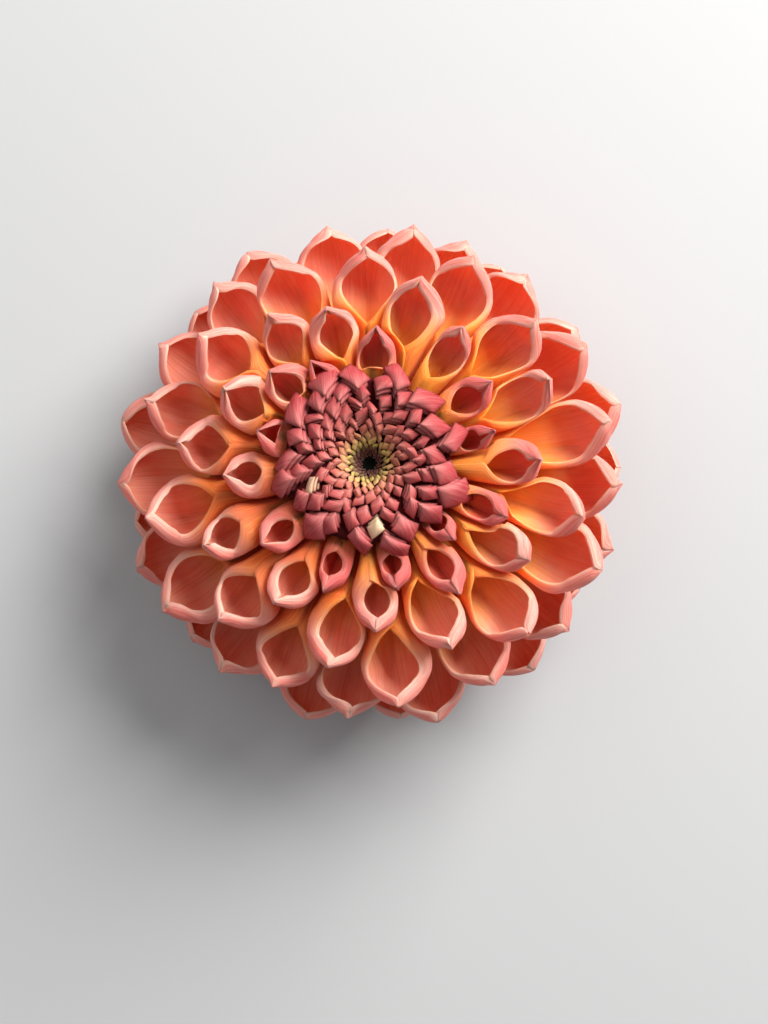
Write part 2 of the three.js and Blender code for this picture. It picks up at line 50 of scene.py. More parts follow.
# Order of the florets round the head: 0 is the widest ring in sight, and numbers grow towards the centre.
# The lowest florets lie along the board, and the first three carry the head. Angles here are in degrees.
GOLDEN_ANGLE = 137.50776
FIRST_ANGLE = 43.75
FIRST_FLORET = -36
LAST_FLORET = 53
FLORETS_PER_RING = 13
STILL_CLOSED = (46, 47, 49, 51, 52)
LYING_LAST = -30
FREE_FIRST = -16
PRESSED_DEPTHS = (2.02, 1.7, 1.93)
BOARD_CLEARANCE = 1.0
CLEARANCE_SCATTER = 0.5

# How the whole head lies: its lean, the direction of its low side, and its centre's height in millimetres.
LEAN = math.radians(5.3)
LEAN_TOWARDS = math.radians(326)
CENTRE_HEIGHT = 24.0

# Place of the head's centre beside the frame's origin, which is the middle of the box's underside.
HEAD_PLACE = np.array((0.78, 0.44, 0.0))

# The board under the flower holds back what would sink into it.
BOARD_LEVEL = 0.12
BOARD_SOFTNESS = 0.25

# Sizes of a floret as they change through the head, at these numbers of the order. Lengths are in
# millimetres, rises and spreads in degrees, and the others are shares.
STAGES = (-39, -26, -13, 0, 13, 26, 39, 53)
TIP_RADIUS = (38.6, 45.8, 49.6, 47.7, 44, 35.8, 26.2, 19.8)
TIP_HEIGHT = (-21.5, -17.5, -11, -3.2, 5.5, 11, 15, 17.2)
ROOT_RADIUS = (10, 11.5, 12.5, 12.5, 12, 11, 9.5, 8.5)
ROOT_HEIGHT = (-6, -4, -2, 0, 2, 4.5, 6.5, 7.5)
ROOT_RISE = (-35, -22, -8, 6, 20, 34, 46, 54)
TIP_RISE = (-5, 4, 16, 30, 44, 54, 60, 66)
HALF_WIDTH = (7.2, 7.9, 8.4, 8.2, 7.5, 6.2, 4.9, 3.4)
HALF_DEPTH_SHARE = (0.55, 0.6, 0.66, 0.76, 0.86, 0.95, 0.9, 0.8)
CLOSED_SHARE = (0.22, 0.25, 0.3, 0.35, 0.4, 0.45, 0.54, 0.66)
MOUTH_SHARE = (1.35, 1.35, 1.3, 1.13, 0.92, 0.74, 0.58, 0.42)
MARGIN_SPREAD = (28, 26, 22, 14, 5, 0, 0, 0)
ROOT_HALF_WIDTH = (1.3, 1.3, 1.4, 1.7, 2.1, 2.4, 2.2, 1.5)
WIDENING_POWER = (1.2, 1.2, 1.2, 1.1, 0.95, 0.9, 0.9, 1.0)
MOUTH_END = (0.975, 0.975, 0.97, 0.97, 0.965, 0.95, 0.9, 0.84)
TIP_CURL = (0.4, 0.7, 0.9, 1.0, 0.95, 0.8, 0.5, 0.4)

# How far single florets scatter round these sizes: the widest draw of each trait, angles in degrees.
AZIMUTH_SCATTER = 2.2
REACH_SCATTER = 0.025
HEIGHT_SCATTER = 0.9
ROOT_RISE_SCATTER = 3
TIP_RISE_SCATTER = 8
WIDTH_SCATTER = 0.06
CLOSED_SCATTER = 0.04
MOUTH_SCATTER = 0.14
WIDEST_SCATTER = 0.06
SKEW_SCATTER = 0.22
ROLL_SCATTER = 15
BEND_SCATTER = 0.13
SEED_SCATTER = 7.3

# Mouths: the rim leaves the closed throat, is widest part of the way out and meets again near the tip.
# The margins stand apart by less than the whole width, then spread outwards where they come near it.
MOUTH_WIDEST = 0.5
MOUTH_POINT = 1.15
MOUTH_LIMIT = 0.965
LIMIT_POWER = 5
SPREAD_MIDDLE = 0.7
SPREAD_SWING = 0.3
SPREAD_POWER = 6
CLOSED_COVER = 0.995
THROAT_OVERLAP = 0.055
THROAT_OVERLAP_SHARE = 0.1
TIP_OVERLAP = 0.04
TIP_OVERLAP_SHARE = 0.15

# The mouths on the sunny side gape more and begin nearer to the root, and their throats there get a painted
# golden glow, as of light shining through them.
OPEN_SIDE = math.radians(75)
OPEN_SIDE_MIDDLE = 0.3
OPEN_SIDE_GAPE = 0.18
OPEN_SIDE_LENGTH = 0.08
PAINTED_GLOW_SIDE = math.radians(60)

# The florets of the middle rings are longer on one side and crowd together on the other.
LONG_SIDE = math.radians(114)
LONG_SIDE_STAGES = (-13, 5, 22, 42, 53)
LONG_SIDE_REACH = (-1.1, 0.7, 4.4, 4.4, 2.2)
CROWDING_COSINE = -2.5
CROWDING_SINE = -1.9

# A floret's midrib, section and blade. The sheet's profile gives its thickness from the margin inwards.
ROOT_HANDLE = 0.42
TIP_HANDLE = 0.3
SHEET = 0.3
SHEET_PROFILE = ((0, 0.04, 0.16, 1), (0.35, 0.75, 1, 1.1))
WIDEST_SHARE = 0.62
WIDENING_SWELL = 0.25
WIDENING_SWELL_POWER = 4
DEEPENING_SHARE = 0.6
TIP_BLUNTNESS = 0.012
TIP_FULLNESS = 1.9
SOLID_TIP_CURL = 0.4
SOLID_TIP_BEAK = 0.35
LIP_STAGES = (0.3, 0.65, 1)
LIP_LEAN = (0, 0.4, 0.9)
LIP_SLOPES = (0.3, 1.3)
TUCK = 0.1
MARGIN_ROLL = 0.16
MARGIN_ROLL_FROM = 0.68
MARGIN_ROLL_SPAN = 0.32
MARGIN_ROLL_FADE = 0.15
RIM_FADE = 0.08

# Steps of a floret's grid: closer together at its tip and a little wider apart at the midrib.
LENGTH_STEPS = 36
TIP_CROWDING = 1.5
ROUND_STEPS = 30
ROUND_POWER = 0.9

# How neighbours press together, and how florets keep off the disc.
NEIGHBOUR_DISTANCE = 14
NEIGHBOUR_STRIDE = 4
PRESENCE_FADE = 1.5
PRESSING_ROUNDS = 2
PRESSING_SOFTNESS = 0.5
PRESSING_GAP = 0.12
NECK = ((8.5, 15, 17, 19.3), (6.6, 11, 14, 16.8))
NECK_CLEARANCE = 0.35

# Receptacle that the florets grow from, as pairs of radius and height.
HEART_PROFILE = (
    (0, -8.5), (7, -8.5), (12, -6.5), (16, -3), (17, 1.5), (15, 6), (11, 8.4), (8.6, 8.2), (0, 8.2),
)

# Disc of closed florets: a log spiral on a low dome with a pit in the middle.
DISC_FIRST = 46
EDGE_BUD_FIRST = 44
DISC_RADIUS = 16.4
DISC_SHRINK = 0.011
DISC_INNER_RADIUS = 5.2
LAST_BUD_RADIUS = 1.4
DISC_HEIGHTS = ((1.5, 3, 6, 9, 12, 15, 18.2, 20), (14.5, 17.2, 20.4, 21.6, 22, 21.6, 20.3, 19))
PALE_BUDS = {69: 1.0, 80: 0.7}

# Solid dome below the buds: its neck, its top under the buds, and the floor of its pit.
DOME_NECK = ((0, 8.5), (6.6, 8.5), (11.5, 14), (14.3, 17))
DOME_RADII = (15.2, 14, 12, 10, 8, 6.3)
DOME_BELOW_BUDS = 1.1
DOME_PIT = ((6, 17.6), (4.2, 15.4), (0, 13.8))

# A bud: a plate of three layers, each nearer to the centre and lower than the one before. Heights are
# shares of its size. The outer buds are larger and drop at their outer corner.
BUD_LAYERS = 3
BUD_STEPS = 9
BUD_FULLNESS = 0.82
BUD_RISE = 0.24
BUD_TILT = 0.2
BUD_CROWN = 0.14
BUD_KEEL = 0.16
LAYER_STEP_IN = 0.062
LAYER_STEP_DOWN = 0.24
OUTER_BUDS_FROM = 12
OUTER_BUDS_SPAN = 4.4
OUTER_FULLNESS = 0.24
OUTER_NARROWING = 0.2
OUTER_REACH = 0.03
OUTER_DROP = 0.7
OUTER_DROP_POWER = 1.5
BUD_DEPTH_SHARE = 0.9
BUD_DEPTH_LEAST = 0.8
BUD_BASE_NARROWING = 0.16

# How far single buds scatter: the widest draw of each trait, angles in radians.
FULLNESS_SCATTER = 0.12
BUD_AZIMUTH_SCATTER = 0.06
BUD_RISE_SCATTER = 0.1
BUD_SEED_SCATTER = 5.1
BUD_RADIUS_SCATTER = 0.02
BUD_TWIST_SCATTER = 0.13
SIDE_TILT_SCATTER = 0.26
FRONT_TILT_SCATTER = 0.14

# How dark a bud's lower layers and the edges of each layer are, and where such an edge begins.
LAYER_SHADE = 0.12
EDGE_SHADE = 0.3
EDGE_FROM = 0.99

# Bracts and stem. A blade's path is rows of radius, height and half width, and a profile is pairs of
# radius and height.
SCALES = 8
SCALE_THICKNESS = 0.6
SCALE_TRAIT = 13
SCALE_PATH = ((6, -9.15, 2.2), (10, -9.8, 3.2), (13, -11.2, 2.6), (15, -12.4, 0.7))
SCALE_PLATE = ((0, -9.5), (7.6, -9.5), (8, -9.4), (7.2, -8.9), (6.6, -8.8), (0, -8.8))
LEAFLETS = 6
LEAFLET_THICKNESS = 0.85
LEAFLET_TRAIT = 14
LEAFLET_PATH = ((3, -11, 1.8), (7.5, -11.7, 2.6), (11, -13.8, 3.1), (12.6, -17, 2.4), (12.8, -19.2, 0.5))
STEM_PROFILE = (
    (0, -12.5), (1.5, -12.5), (1.7, -12.7), (1.7, -21.9), (1.8, -22), (3.45, -22), (3.6, -21.8),
    (3.6, -14.6), (3.7, -13.6), (4.9, -12.1), (5.2, -11.6), (5.2, -10.0), (5.0, -9.8), (0, -9.8),
)
CUT_HEIGHT = 3.1
CUT_FADE = 0.25
BLADE_STEPS = (26, 13)
BLADE_CUP = 0.15
BLADE_WAVE = 0.25
BLADE_WAVES = 9
BLADE_THINNING = 0.55
BLADE_AZIMUTH_SCATTER = 0.12
BLADE_WIDTH_SCATTER = 0.05
BLADE_WAVE_SCATTER = 3
BLADE_SEED_SCATTER = 3.7

# Margins of the bake map: round each square, and between the two faces of a sheet in it.
SQUARE_MARGIN = 0.03
FACE_SPAN = 0.48
LATHE_MARGIN = 0.02
LATHE_SPAN = 0.96

# Steps round the turned solids.
LATHE_SEGMENTS = 48
PLATE_SEGMENTS = 40


def draw(n, k):
    """Repeatable draw between -1 and 1 for floret n. Each trait has its own k."""
    s = math.sin(n * 12.9898 + k * 78.233) * 43758.5453
    return 2 * (s - math.floor(s)) - 1


def size_at(sizes, n):
    """Size of floret n, from the row of sizes at the stages of the order."""
    return float(np.interp(n, STAGES, sizes))


def soft_limit(value, limit, soft):
    """Value held under a limit, bending over smoothly within a soft distance of it."""
    return limit - soft * np.logaddexp(0, (limit - value) / soft)


def azimuth(n):
    """Direction of floret n in radians, clockwise from +Y seen from above."""
    even = math.radians(FIRST_ANGLE + GOLDEN_ANGLE * n)
    return even + math.radians(CROWDING_COSINE * math.cos(even) + CROWDING_SINE * math.sin(even))


def on_board(n, az, tip_radius, free_height):
    """Height of a tip: on the board for the lowest florets, then rising to its free height."""
    lean = tip_radius * math.sin(LEAN) * math.cos(az - LEAN_TOWARDS)
    if n < FIRST_FLORET + len(PRESSED_DEPTHS):
        lift = -PRESSED_DEPTHS[n - FIRST_FLORET]
    else:
        lift = BOARD_CLEARANCE * (1 + CLEARANCE_SCATTER * draw(n, 12))
    board = (lift - CENTRE_HEIGHT + lean) / math.cos(LEAN)
    share = min(max((n - LYING_LAST) / (FREE_FIRST - LYING_LAST), 0), 1)
    return board + share * (free_height - board)


class Floret:
    """One open floret: midrib, frame along it, half width, depth and cover, all along its length."""

    def __init__(self, n):
        self.n = n
        self.az = azimuth(n) + math.radians(AZIMUTH_SCATTER * draw(n, 1))
        self.out = np.array((math.sin(self.az), math.cos(self.az), 0))
        self.across = np.array((math.cos(self.az), -math.sin(self.az), 0))
        self.v = 1 - np.linspace(1, 0, LENGTH_STEPS + 1) ** TIP_CROWDING
        self.half = size_at(HALF_WIDTH, n) * (1 + WIDTH_SCATTER * draw(n, 6))
        self.set_midrib()
        self.set_section()
        self.set_mouth()
        self.roll = math.radians(ROLL_SCATTER * draw(n, 11))
        self.bend = BEND_SCATTER * self.half * draw(n, 13) * self.v * self.v
        self.side = 1 if draw(n, 10) > 0 else -1

    def set_midrib(self):
        """Curve from root to tip, as radius and height, and the directions along it and up from it."""
        n = self.n
        reach = float(np.interp(n, LONG_SIDE_STAGES, LONG_SIDE_REACH)) * math.cos(self.az - LONG_SIDE)
        tip_radius = size_at(TIP_RADIUS, n) * (1 + REACH_SCATTER * draw(n, 2)) + reach
        free_height = size_at(TIP_HEIGHT, n) + HEIGHT_SCATTER * draw(n, 3)
        root = np.array((size_at(ROOT_RADIUS, n), size_at(ROOT_HEIGHT, n)))
        tip = np.array((tip_radius, on_board(n, self.az, tip_radius, free_height)))
        chord = np.linalg.norm(tip - root)
        root_rise = math.radians(size_at(ROOT_RISE, n) + ROOT_RISE_SCATTER * draw(n, 4))
        tip_rise = math.radians(size_at(TIP_RISE, n) + TIP_RISE_SCATTER * draw(n, 5))
        handle_a = root + ROOT_HANDLE * chord * np.array((math.cos(root_rise), math.sin(root_rise)))
        handle_b = tip - TIP_HANDLE * chord * np.array((math.cos(tip_rise), math.sin(tip_rise)))
        w = self.v[:, None]
        x = 1 - w
        self.mid = x ** 3 * root + 3 * w * x ** 2 * handle_a + 3 * w * w * x * handle_b + w ** 3 * tip
        slope = x ** 2 * (handle_a - root) + 2 * w * x * (handle_b - handle_a) + w * w * (tip - handle_b)
        self.along = slope / np.linalg.norm(slope, axis=1)[:, None]
        self.up = np.stack((-self.along[:, 1], self.along[:, 0]), 1)
        steepness = np.clip(self.along[:, 1] / self.along[:, 0], *LIP_SLOPES)
        self.lip = np.interp(self.v, LIP_STAGES, LIP_LEAN) * steepness

    def set_section(self):
        """Half width and depth along the floret, and the curl of its tip, which lifts the midrib."""
        n = self.n
        v = self.v
        t = np.clip(v / WIDEST_SHARE, 0, 1)
        swell = 1 + WIDENING_SWELL - WIDENING_SWELL * t ** WIDENING_SWELL_POWER
        grow = t ** size_at(WIDENING_POWER, n) * swell
        q = np.clip((v - WIDEST_SHARE) / (1 - WIDEST_SHARE), 0, 1)
        taper = TIP_BLUNTNESS + (1 - TIP_BLUNTNESS) * (1 - q ** TIP_FULLNESS) ** (1 / TIP_FULLNESS)
        narrow = size_at(ROOT_HALF_WIDTH, n)
        self.width = (narrow + (self.half - narrow) * grow) * taper
        deepening = np.clip(v / DEEPENING_SHARE, 0, 1)
        self.depth = self.width * (1 + (size_at(HALF_DEPTH_SHARE, n) - 1) * deepening)
        curl = size_at(TIP_CURL, n)
        rise = self.along[-1, 1] / self.along[-1, 0]
        beak = SOLID_TIP_BEAK - SOLID_TIP_CURL * rise + curl * (rise - self.lip[-1])
        beyond = (self.depth.max() * (1 - taper))[:, None]
        self.mid = self.mid + (self.up * curl + self.along * (beak + self.lip[:, None] * curl)) * beyond

    def set_mouth(self):
        """How much of a full turn the sheet covers along the floret, and where its mouth begins and ends."""
        n = self.n
        towards_sun = math.cos(self.az - OPEN_SIDE) + OPEN_SIDE_MIDDLE
        self.closed = size_at(CLOSED_SHARE, n) + CLOSED_SCATTER * draw(n, 7) - OPEN_SIDE_LENGTH * towards_sun
        self.end = size_at(MOUTH_END, n)
        mouth = (size_at(MOUTH_SHARE, n) + OPEN_SIDE_GAPE * towards_sun) * (1 + MOUTH_SCATTER * draw(n, 8))
        widest = MOUTH_WIDEST + WIDEST_SCATTER * draw(n, 16)
        s = np.clip((self.v - self.closed) / (self.end - self.closed), 0, 1)
        rim = mouth * self.half * (s / widest) ** (MOUTH_POINT * widest / (1 - widest))
        rim = rim * ((1 - s) / (1 - widest)) ** MOUTH_POINT
        share = rim / np.maximum(self.width, 1e-6) / MOUTH_LIMIT
        share = share / (1 + share ** LIMIT_POWER) ** (1 / LIMIT_POWER)
        spread = math.radians(size_at(MARGIN_SPREAD, n))
        spread = spread * (SPREAD_MIDDLE + SPREAD_SWING * math.cos(self.az - OPEN_SIDE))
        angle = np.arcsin(MOUTH_LIMIT * share) + spread * share ** SPREAD_POWER
        at_throat = 1 - np.clip(s / THROAT_OVERLAP_SHARE, 0, 1)
        at_tip = np.clip((s - (1 - TIP_OVERLAP_SHARE)) / TIP_OVERLAP_SHARE, 0, 1)
        overlap = THROAT_OVERLAP * at_throat + TIP_OVERLAP * at_tip
        self.cover = CLOSED_COVER + overlap - angle / math.pi

    def place(self, radial_z, sideways):
        """Points of the flower's frame from radial and height pairs and a sideways distance."""
        points = radial_z[..., :1] * self.out + sideways[..., None] * self.across
        points[..., 2] += radial_z[..., 1]
        return points

    def centres(self):
        """Middle of the floret's section at each step of its length."""
        lifted = self.mid + (self.up + self.along * self.lip[:, None]) * self.depth[:, None]
        return self.place(lifted, self.bend)

    def surface(self):
        """Grid of points of the sheet, one row per length step, with their places across and along it.

        One margin tucks under the other where the tube is closed, and both roll inwards round the mouth.
        """
        u = np.linspace(-1, 1, ROUND_STEPS + 1)
        u = np.sign(u) * np.abs(u) ** ROUND_POWER
        skew = SKEW_SCATTER * draw(self.n, 9)
        angle = math.pi * self.cover[:, None] * (u + skew * (1 - u * u))[None, :]
        lower_side = np.clip(self.side * u, 0, 1)[None, :]
        covered = np.clip(self.cover, 0, 1)[:, None]
        tuck = 1 - TUCK * lower_side ** 3 * covered ** 2
        rolled = np.clip((np.abs(u) - MARGIN_ROLL_FROM) / MARGIN_ROLL_SPAN, 0, 1)[None, :] ** 2
        past_throat = np.clip((self.v - self.closed) / MARGIN_ROLL_FADE, 0, 1)
        before_tip = np.clip((self.end - self.v) / MARGIN_ROLL_FADE, 0, 1)
        open_here = past_throat * before_tip
        tuck = tuck * (1 - MARGIN_ROLL * rolled * open_here[:, None])
        flat_x = self.width[:, None] * np.sin(angle) * tuck
        flat_y = -self.depth[:, None] * np.cos(angle) * tuck
        turn = self.roll * self.v[:, None]
        x = flat_x * np.cos(turn) + flat_y * np.sin(turn) + self.bend[:, None]
        y = self.depth[:, None] - flat_x * np.sin(turn) + flat_y * np.cos(turn)
        rising = self.up + self.along * self.lip[:, None]
        radial_z = self.mid[:, None, :] + rising[:, None, :] * y[..., None]
        return self.place(radial_z, x), np.broadcast_to(u, x.shape), np.broadcast_to(self.v[:, None], x.shape)


OPEN_FLORETS = [n for n in range(FIRST_FLORET, LAST_FLORET + 1) if n not in STILL_CLOSED]
florets = {n: Floret(n) for n in OPEN_FLORETS}


class Crowd:
    """Neighbours press together: each floret bends away from the surface half way to the next one."""

    def __init__(self, members):
        self.line = {}
        for n, floret in members.items():
            centres = floret.centres()
            far = np.maximum.accumulate(np.linalg.norm(centres, axis=1))
            far = far + np.arange(len(far)) * 1e-6
            self.line[n] = (far, centres, floret.width)
        self.near = {}
        for n in members:
            self.near[n] = [m for m in members if m != n and self.apart(n, m) < NEIGHBOUR_DISTANCE]

    def apart(self, n, m):
        """Least distance between the centre lines of florets n and m, at every few steps."""
        own = self.line[n][1][::NEIGHBOUR_STRIDE, None]
        other = self.line[m][1][None, ::NEIGHBOUR_STRIDE]
        return np.linalg.norm(own - other, axis=2).min()

    def at(self, n, distance):
        """Centre and half width of floret n at distances from the middle, and how far it still is there."""
        far, centres, width = self.line[n]
        centre = np.stack([np.interp(distance, far, centres[:, k]) for k in range(3)], -1)
        present = np.clip(far[-1] + PRESENCE_FADE - distance, 0, PRESENCE_FADE) / PRESENCE_FADE
        return centre, np.interp(distance, far, width), present

    def press(self, n, points, gap):
        """Points of floret n, kept a gap back from the surface half way to each neighbour."""
        shape = points.shape
        p = points.reshape(-1, 3).copy()
        for _ in range(PRESSING_ROUNDS):
            distance = np.linalg.norm(p, axis=1)
            own, own_width, _ = self.at(n, distance)
            for m in self.near[n]:
                other, other_width, present = self.at(m, distance)
                between = other - own
                length = np.maximum(np.linalg.norm(between, axis=1), 1e-6)
                towards = between / length[:, None]
                limit = length * own_width / (own_width + other_width) - gap
                reach = np.einsum("ij,ij->i", p - own, towards)
                shift = soft_limit(reach, limit, PRESSING_SOFTNESS) - reach
                p += (present * shift)[:, None] * towards
        return p.reshape(shape)


crowd = Crowd(florets)


def clear_of_disc(points, extra):
    """Points beside the disc, moved out of the space that it fills."""
    r = np.linalg.norm(points[..., :2], axis=-1)
    least = np.interp(points[..., 2], *NECK) + NECK_CLEARANCE + extra
    inside = (points[..., 2] > NECK[0][0]) & (r < least)
    factor = np.where(inside, least / np.maximum(r, 1e-6), 1)
    moved = points.copy()
    moved[..., :2] *= factor[..., None]
    return moved


# Turn that leans the whole head, about a level axis.
lean_axis = np.array((math.cos(LEAN_TOWARDS), -math.sin(LEAN_TOWARDS), 0))
cross = np.array((
    (0, -lean_axis[2], lean_axis[1]),
    (lean_axis[2], 0, -lean_axis[0]),
    (-lean_axis[1], lean_axis[0], 0),
))
lean_matrix = np.eye(3) + math.sin(-LEAN) * cross + (1 - math.cos(LEAN)) * cross @ cross


def settled(points):
    """Flower's frame in millimetres to the board's frame in millimetres, with the origin at its place."""
    return points @ lean_matrix.T + np.array((0, 0, CENTRE_HEIGHT)) + HEAD_PLACE


def world(points):
    """Flower's frame in millimetres to Blender's metres, with nothing below the board."""
    p = settled(points)
    p[..., 2] = -soft_limit(-p[..., 2], -BOARD_LEVEL, BOARD_SOFTNESS)
    return p * MM


class Mesh:
    """Collects closed sheets and solids with named values at their points, and a bake map."""

    def __init__(self):
        self.points = []
        self.faces = []
        self.values = {}
        self.uv = []
        self.count = 0

    def add(self, points, faces, values, uv):
        """Points in metres, faces as rows of indexes, values by name, and one place on the map per corner."""
        self.points.append(points)
        self.faces.extend([tuple(i + self.count for i in face) for face in faces])
        for name, value in values.items():
            self.values.setdefault(name, []).append(np.broadcast_to(np.asarray(value, float), (len(points),)))
        self.uv.extend(uv)
        self.count += len(points)

    def shrink_map(self, square):
        """Fit the bake map of what is in the mesh so far into one square."""
        left, low, size = square
        self.uv = [(left + size * u, low + size * v) for u, v in self.uv]

    def build(self, name, material, node, slot):
        """Make the piece, which rides on the root body and takes the place of one node of the frame."""
        mesh = bpy.data.meshes.new(name)
        mesh.from_pydata(np.concatenate(self.points).tolist(), [], self.faces)
        for key, parts in self.values.items():
            layer = mesh.attributes.new(key, "FLOAT", "POINT")
            layer.data.foreach_set("value", np.concatenate(parts).astype(np.float32))
        bake = mesh.uv_layers.new(name="OFBake")
        bake.data.foreach_set("uv", np.asarray(self.uv, np.float32).ravel())
        mesh.polygons.foreach_set("use_smooth", [True] * len(mesh.polygons))
        mesh.materials.append(material)
        mesh.update()
        piece = bpy.data.objects.new(name, mesh)
        bpy.context.scene.collection.objects.link(piece)
        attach(piece, "root")
        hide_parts(node)


def tile_frame(index, count):
    """Corner and size of one square of the bake map, with a margin."""
    side = math.ceil(math.sqrt(count))
    left = (index % side + SQUARE_MARGIN) / side
    low = (index // side + SQUARE_MARGIN) / side
    return left, low, (1 - 2 * SQUARE_MARGIN) / side


def grid_normals(points):
    """Unit normals of a grid of points."""
    du = np.gradient(points, axis=1)
    dv = np.gradient(points, axis=0)
    normal = np.cross(du, dv)
    return normal / np.maximum(np.linalg.norm(normal, axis=2, keepdims=True), 1e-9)


def add_sheet(mesh, points, normal, thickness, values, square):
    """A closed thin sheet: outer face first, then inner face, then its edges."""
    rows, cols = points.shape[:2]
    half = thickness[..., None] / 2
    outer = world(points - normal * half)
    inner = world(points + normal * half)
    k = rows * cols
    left, low, size = square
    us = np.linspace(0, 1, cols)
    vs = np.linspace(0, 1, rows)
    faces = []
    uv = []

    def spot(place, side):
        i, j = place
        return left + size * (0.5 * side + FACE_SPAN * us[j]), low + size * vs[i]

    def index(place):
        return place[0] * cols + place[1]

    for i in range(rows - 1):
        for j in range(cols - 1):
            ring = ((i, j), (i, j + 1), (i + 1, j + 1), (i + 1, j))
            faces.append(tuple(index(x) for x in ring[::-1]))
            uv.extend(spot(x, 0) for x in ring[::-1])
            faces.append(tuple(index(x) + k for x in ring))
            uv.extend(spot(x, 1) for x in ring)
    border = [(0, j) for j in range(cols - 1)] + [(i, cols - 1) for i in range(rows - 1)]
    border += [(rows - 1, j) for j in range(cols - 1, 0, -1)] + [(i, 0) for i in range(rows - 1, 0, -1)]
    for x, y in zip(border, border[1:] + border[:1]):
        faces.append((index(x), index(y), index(y) + k, index(x) + k))
        uv.extend((spot(x, 0), spot(y, 0), spot(y, 0), spot(x, 0)))
    both = {}
    for name, value in values.items():
        both[name] = np.concatenate([np.broadcast_to(value, (rows, cols)).ravel()] * 2)
    both["inside"] = np.concatenate((np.zeros(k), np.ones(k)))
    mesh.add(np.concatenate((outer.reshape(-1, 3), inner.reshape(-1, 3))), faces, both, uv)


def node_material(name):
    """New material with only its output and a Principled shader."""
    material = bpy.data.materials.new(name)
    material.use_nodes = True
    tree = material.node_tree
    tree.nodes.clear()
    output = tree.nodes.new("ShaderNodeOutputMaterial")
    shader = tree.nodes.new("ShaderNodeBsdfPrincipled")
    tree.links.new(shader.outputs[0], output.inputs[0])
    return material, tree, shader


class Nodes:
    """Short forms for the nodes that the materials use."""

    def __init__(self, tree):
        self.tree = tree

    def link(self, value, socket):
        if isinstance(value, bpy.types.NodeSocket):
            self.tree.links.new(value, socket)
        else:
            socket.default_value = value

    def value(self, name):
        node = self.tree.nodes.new("ShaderNodeAttribute")
        node.attribute_name = name
        return node.outputs["Fac"]

    def math(self, operation, a, b=0.0):
        node = self.tree.nodes.new("ShaderNodeMath")
        node.operation = operation
        for socket, value in zip(node.inputs, (a, b)):
            self.link(value, socket)
        return node.outputs[0]

    def times(self, a, b):
        return self.math("MULTIPLY", a, b)

    def reading(self, value, low, high, to_low=0.0, to_high=1.0):
        """Smooth step from to_low to to_high while the value goes from low to high."""
        node = self.tree.nodes.new("ShaderNodeMapRange")
        node.interpolation_type = "SMOOTHSTEP"
        for socket, item in zip(node.inputs, (value, low, high, to_low, to_high)):
            self.link(item, socket)
        return node.outputs[0]

    def mix(self, share, a, b):
        """Colour a, with a share of colour b mixed in."""
        node = self.tree.nodes.new("ShaderNodeMix")
        node.data_type = "RGBA"
        self.link(share, node.inputs[0])
        for socket, colour in ((node.inputs[6], a), (node.inputs[7], b)):
            self.link(colour if isinstance(colour, bpy.types.NodeSocket) else (*colour, 1), socket)
        return node.outputs[2]

    def ramp(self, share, stops):
        """Colour that changes with the share, through stops of position and colour."""
        node = self.tree.nodes.new("ShaderNodeValToRGB")
        elements = node.color_ramp.elements
        for element, stop in ((elements[0], stops[0]), (elements[1], stops[-1])):
            element.position = stop[0]
            element.color = (*stop[1], 1)
        for position, colour in stops[1:-1]:
            element = elements.new(position)
            element.color = (*colour, 1)
        self.link(share, node.inputs[0])
        return node.outputs[0]

    def vector(self, x, y, z):
        node = self.tree.nodes.new("ShaderNodeCombineXYZ")
        for socket, value in zip(node.inputs, (x, y, z)):
            self.link(value, socket)
        return node.outputs[0]

    def grain(self, across_scale, along_scale, scale, detail, roughness=0.55):
        """Noise on the piece's own values across and along, different for each seed."""
        across = self.times(self.value("across"), across_scale)
        along = self.times(self.value("along"), along_scale)
        node = self.tree.nodes.new("ShaderNodeTexNoise")
        self.link(self.vector(across, along, self.value("seed")), node.inputs["Vector"])
        node.inputs["Scale"].default_value = scale
        node.inputs["Detail"].default_value = detail
        node.inputs["Roughness"].default_value = roughness
        return node.outputs["Fac"]

    def bump(self, height, strength, distance):
        node = self.tree.nodes.new("ShaderNodeBump")
        node.inputs["Strength"].default_value = strength
        node.inputs["Distance"].default_value = distance
        self.link(height, node.inputs["Height"])
        return node.outputs[0]


def rgb(r, g, b):
    """Linear colour from a screen colour of 0 to 255."""
    return tuple((c / 255 / 12.92) if c <= 10 else ((c / 255 + 0.055) / 1.055) ** 2.4 for c in (r, g, b))


def glow_through(shader, weight, radius, scale):
    """Let light pass a little way into the surface, by its own distance for red, green and blue."""
    shader.inputs["Subsurface Weight"].default_value = weight
    shader.inputs["Subsurface Radius"].default_value = radius
    shader.inputs["Subsurface Scale"].default_value = scale


